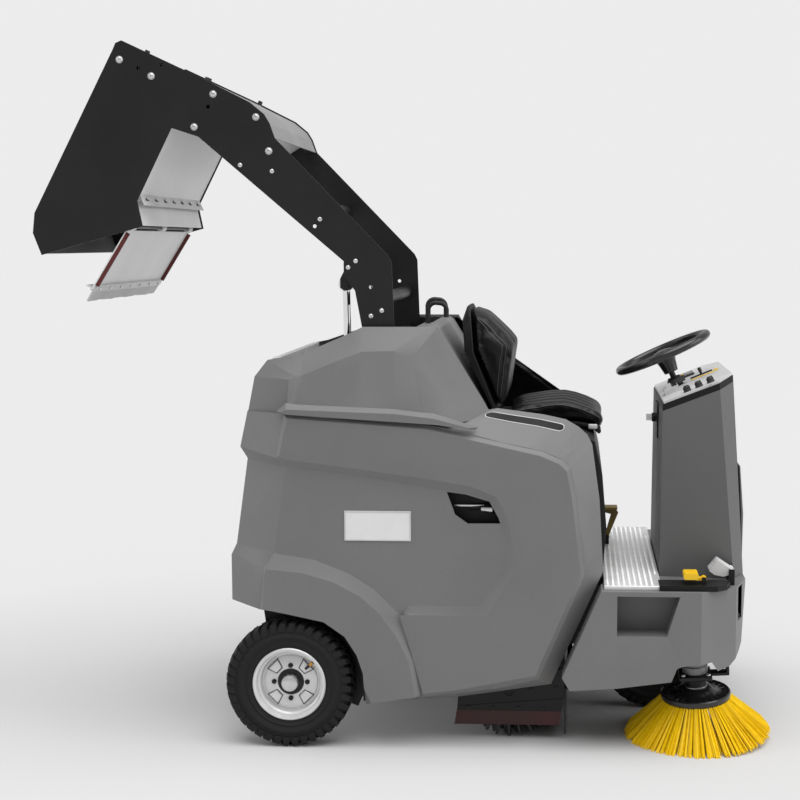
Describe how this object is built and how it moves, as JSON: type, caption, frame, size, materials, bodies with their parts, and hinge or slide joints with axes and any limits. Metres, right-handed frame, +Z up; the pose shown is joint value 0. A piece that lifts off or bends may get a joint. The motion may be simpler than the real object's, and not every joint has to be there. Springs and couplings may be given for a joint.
{
  "type": "ride-on sweeper",
  "caption": "Ride-on floor sweeper with seat, steering console, side broom, main roller and a rear hopper on lifting arms that tips high to empty.",
  "frame": {"origin": "on the floor, under the middle of the machine's length and width with the hopper raised", "axes": "+X forward, the way the driver faces; +Y to the driver's left; +Z up"},
  "size_m": [2.3495, 1.0887, 2.2293],
  "materials": {
    "grey_shell": "textured moulded plastic",
    "front_grey": "textured moulded plastic",
    "black_plastic": "fine grained",
    "panel_grey": "smooth satin",
    "black_steel": "satin powder coat",
    "tub_grey": "satin powder coat",
    "chassis_black": "satin paint",
    "silver_steel": "zinc plated",
    "rod_chrome": "polished",
    "tyre": "treaded rubber",
    "rubber": "matte",
    "red_rubber": "matte",
    "vinyl": "grained vinyl with seams",
    "tread": "raised tread bars",
    "yellow": "moulded",
    "yellow_bristle": "bundled filaments",
    "black_bristle": "bundled filaments",
    "badge": "blank plate",
    "white_plastic": "smooth",
    "lever_ochre": "worn paint"
  },
  "bodies": {
    "chassis": {"chassis_frame": "chassis_black", "left_side_shell": "grey_shell", "right_side_shell": "grey_shell", "side_plates": "badge", "intake_ducts": "black_plastic", "rear_mudguards": "black_plastic", "filter_housing": "black_plastic", "suction_fan": "black_plastic", "rear_top_frame": "panel_grey", "rear_deck": "grey_shell", "seat_box": "chassis_black", "traction_battery": "black_plastic", "hydraulic_unit": "silver_steel", "front_shell": "front_grey", "floor_plate": "tread", "console_shell": "grey_shell", "console_trim": "black_plastic", "instrument_panel": "panel_grey", "key_switch": "black_plastic", "front_cover": "grey_shell", "pedal_bed": "black_plastic", "steering_column": "black_plastic", "roller_tunnel": "chassis_black", "seal_lips": "red_rubber", "front_dirt_flap": "rubber", "lift_hoses": "rubber"},
    "hopper": {"hopper_arms": "black_steel", "hopper_tub": "tub_grey", "hopper_roof_panel": "tub_grey", "arm_bolts": "silver_steel"},
    "flap": {"flap_sheet": "tub_grey", "flap_lip": "rubber", "flap_side_seals": "red_rubber"},
    "ram_barrels": {"ram_barrels": "black_steel"},
    "ram_rods": {"ram_rods": "rod_chrome"},
    "steering_wheel": {"steering_wheel": "black_plastic"},
    "front_fork": {"front_fork": "chassis_black"},
    "front_wheel": {"front_rim": "silver_steel", "front_tyre": "tyre"},
    "left_rear_wheel": {"left_rear_rim": "silver_steel", "left_rear_tyre": "tyre"},
    "right_rear_wheel": {"right_rear_rim": "silver_steel", "right_rear_tyre": "tyre"},
    "main_roller": {"roller_core": "black_plastic", "roller_bristles": "black_bristle"},
    "broom_arm": {"broom_arm": "chassis_black", "broom_motor": "silver_steel"},
    "side_broom": {"broom_disc": "black_plastic", "broom_bristles": "yellow_bristle"},
    "drive_pedal": {"drive_pedal": "white_plastic"},
    "brake_pedal": {"brake_pedal": "yellow"},
    "foot_lever": {"foot_lever": "lever_ochre"},
    "hopper_lever": {"hopper_lever": "black_plastic"},
    "broom_knob": {"broom_knob": "black_plastic"},
    "roller_knob": {"roller_knob": "black_plastic"},
    "fan_knob": {"fan_knob": "black_plastic"},
    "ignition_key": {"ignition_key": "silver_steel"},
    "seat": {"seat_shell": "black_plastic", "seat_cushion": "vinyl", "backrest_cushion": "vinyl"}
  },
  "joints": [
    {"name": "hopper_lift", "type": "hinge", "parent": "chassis", "child": "hopper", "pos_m": [-0.0685, 0.026, 1.272], "axis": [0, 1, 0], "range_deg": [-115, 0]},
    {"name": "flap_swing", "type": "hinge", "parent": "hopper", "child": "flap", "pos_m": [-0.8655, 0.026, 1.64], "axis": [0, -1, 0], "range_deg": [-38, 22]},
    {"name": "ram_swing", "type": "hinge", "parent": "chassis", "child": "ram_barrels", "pos_m": [-0.17641, 0.026, 0.56331], "axis": [0, -1, 0], "range_deg": [0, 8]},
    {"name": "ram_extend", "type": "slide", "parent": "ram_barrels", "child": "ram_rods", "axis": [-0.0158, 0, 0.9999], "range_m": [-0.3743, 0]},
    {"name": "front_steer", "type": "hinge", "parent": "chassis", "child": "front_fork", "pos_m": [0.8115, 0.026, 0.455], "axis": [0, 0, 1], "range_deg": [-50, 50]},
    {"name": "steering_turn", "type": "hinge", "parent": "chassis", "child": "steering_wheel", "pos_m": [0.8965, 0.026, 1.0906], "axis": [-0.4067, 0, 0.9135], "range_deg": [-150, 150]},
    {"name": "front_wheel_spin", "type": "hinge", "parent": "front_fork", "child": "front_wheel", "pos_m": [0.8115, 0.026, 0.175], "axis": [0, 1, 0], "continuous": true},
    {"name": "left_rear_wheel_spin", "type": "hinge", "parent": "chassis", "child": "left_rear_wheel", "pos_m": [-0.3535, 0.496, 0.203], "axis": [0, 1, 0], "continuous": true},
    {"name": "right_rear_wheel_spin", "type": "hinge", "parent": "chassis", "child": "right_rear_wheel", "pos_m": [-0.3535, -0.444, 0.203], "axis": [0, 1, 0], "continuous": true},
    {"name": "roller_spin", "type": "hinge", "parent": "chassis", "child": "main_roller", "pos_m": [0.3365, 0.026, 0.161], "axis": [0, 1, 0], "continuous": true},
    {"name": "broom_lift", "type": "hinge", "parent": "chassis", "child": "broom_arm", "pos_m": [0.9365, -0.124, 0.33], "axis": [-1, 0, 0], "range_deg": [0, 14]},
    {"name": "broom_spin", "type": "hinge", "parent": "broom_arm", "child": "side_broom", "pos_m": [0.9365, -0.314, 0.14], "axis": [-0.0523, -0.087, 0.9948], "continuous": true},
    {"name": "drive_press", "type": "hinge", "parent": "chassis", "child": "drive_pedal", "pos_m": [1.0385, -0.346, 0.556], "axis": [0, -1, 0], "range_deg": [0, 10], "stiffness_Nm_per_rad": 8, "springref_deg": -2.86},
    {"name": "brake_press", "type": "hinge", "parent": "chassis", "child": "brake_pedal", "pos_m": [0.9465, -0.436, 0.546], "axis": [0, -1, 0], "range_deg": [0, 10], "stiffness_Nm_per_rad": 8, "springref_deg": -2.86},
    {"name": "foot_lever_press", "type": "hinge", "parent": "chassis", "child": "foot_lever", "pos_m": [0.6565, 0.206, 0.552], "axis": [0, 1, 0], "range_deg": [0, 18], "stiffness_Nm_per_rad": 10, "springref_deg": -5.73},
    {"name": "hopper_lever_tilt", "type": "hinge", "parent": "chassis", "child": "hopper_lever", "pos_m": [0.9805, 0.071, 1.12425], "axis": [0, 1, 0], "range_deg": [-14, 14], "stiffness_Nm_per_rad": 2},
    {"name": "key_turn", "type": "hinge", "parent": "chassis", "child": "ignition_key", "pos_m": [0.8065, 0.026, 1], "axis": [-1, 0, 0], "range_deg": [0, 80]},
    {"name": "seat_slide", "type": "slide", "parent": "chassis", "child": "seat", "axis": [1, 0, 0], "range_m": [0, 0.08]},
    {"name": "broom_knob_turn", "type": "hinge", "parent": "chassis", "child": "broom_knob", "pos_m": [0.90101, -0.24, 1.12234], "axis": [-0.3746, 0, 0.9272], "range_deg": [0, 270]},
    {"name": "roller_knob_turn", "type": "hinge", "parent": "chassis", "child": "roller_knob", "pos_m": [0.93801, -0.24, 1.13729], "axis": [-0.3746, 0, 0.9272], "range_deg": [0, 270]},
    {"name": "fan_knob_turn", "type": "hinge", "parent": "chassis", "child": "fan_knob", "pos_m": [0.97501, -0.24, 1.15223], "axis": [-0.3746, 0, 0.9272], "range_deg": [0, 270]}
  ],
  "couplings": [
    {"joint": "ram_extend", "follows": "hopper_lift", "m_per_rad": 0.18624},
    {"joint": "steering_turn", "follows": "front_steer", "ratio": 3}
  ]
}
